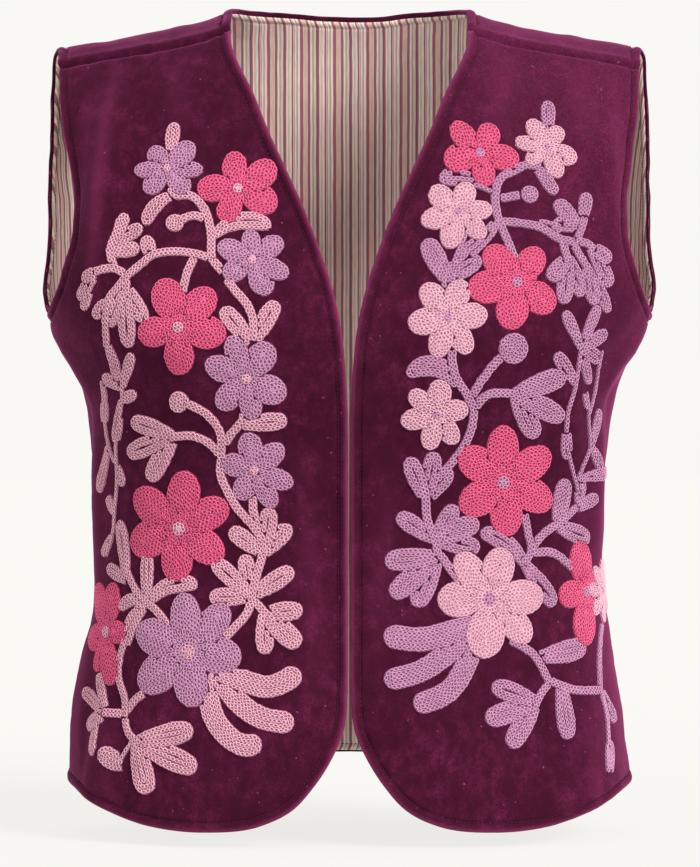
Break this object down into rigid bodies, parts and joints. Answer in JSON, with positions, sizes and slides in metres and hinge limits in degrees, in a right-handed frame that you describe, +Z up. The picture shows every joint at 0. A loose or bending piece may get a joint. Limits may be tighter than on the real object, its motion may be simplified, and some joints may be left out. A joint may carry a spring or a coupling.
{
  "type": "embroidered waistcoat",
  "caption": "Sleeveless lined velvet waistcoat in its worn, hollow form, with a deep V neck, fronts that meet edge to edge, rounded front corners and wool flower embroidery.",
  "frame": {"origin": "midway between the wearer's shoulders, at the height of the shoulder ridge where the cloth rests on them", "axes": "+X to the wearer's left, -Y to the front of the wearer, +Z up along the body"},
  "size_m": [0.4178, 0.2302, 0.5511],
  "materials": {
    "velvet_plum": "cotton velvet, deep plum, soft nap with a sheen",
    "lining_stripe": "woven cotton stripe in stone, terracotta, charcoal and raspberry, matt",
    "wool_pink": "pink wool yarn in chain stitch, matt",
    "wool_pale_pink": "pale pink wool yarn in chain stitch, matt",
    "wool_lilac": "lilac wool yarn in chain stitch, matt",
    "wool_raspberry": "raspberry wool yarn in chain stitch, matt"
  },
  "bodies": {
    "root": {"back": "velvet_plum", "flower_left_1": "wool_raspberry", "flower_left_10": "wool_raspberry", "flower_left_2": "wool_pale_pink", "flower_left_3": "wool_pale_pink", "flower_left_4": "wool_raspberry", "flower_left_5": "wool_pale_pink", "flower_left_6": "wool_pale_pink", "flower_left_7": "wool_raspberry", "flower_left_8": "wool_pale_pink", "flower_left_9": "wool_pale_pink", "flower_right_1": "wool_lilac", "flower_right_2": "wool_raspberry", "flower_right_3": "wool_lilac", "flower_right_4": "wool_raspberry", "flower_right_5": "wool_lilac", "flower_right_6": "wool_lilac", "flower_right_7": "wool_raspberry", "flower_right_8": "wool_lilac", "flower_right_9": "wool_raspberry", "front_left": "velvet_plum", "front_right": "velvet_plum", "lining_back": "lining_stripe", "lining_front_left": "lining_stripe", "lining_front_right": "lining_stripe", "vine_left_1": "wool_lilac", "vine_left_2": "wool_lilac", "vine_left_3": "wool_lilac", "vine_left_4": "wool_lilac", "vine_left_5": "wool_lilac", "vine_left_6": "wool_lilac", "vine_right_1": "wool_pink", "vine_right_2": "wool_pink", "vine_right_3": "wool_pink", "vine_right_4": "wool_pink", "vine_right_5": "wool_pink", "vine_right_6": "wool_pink"}
  },
  "joints": []
}
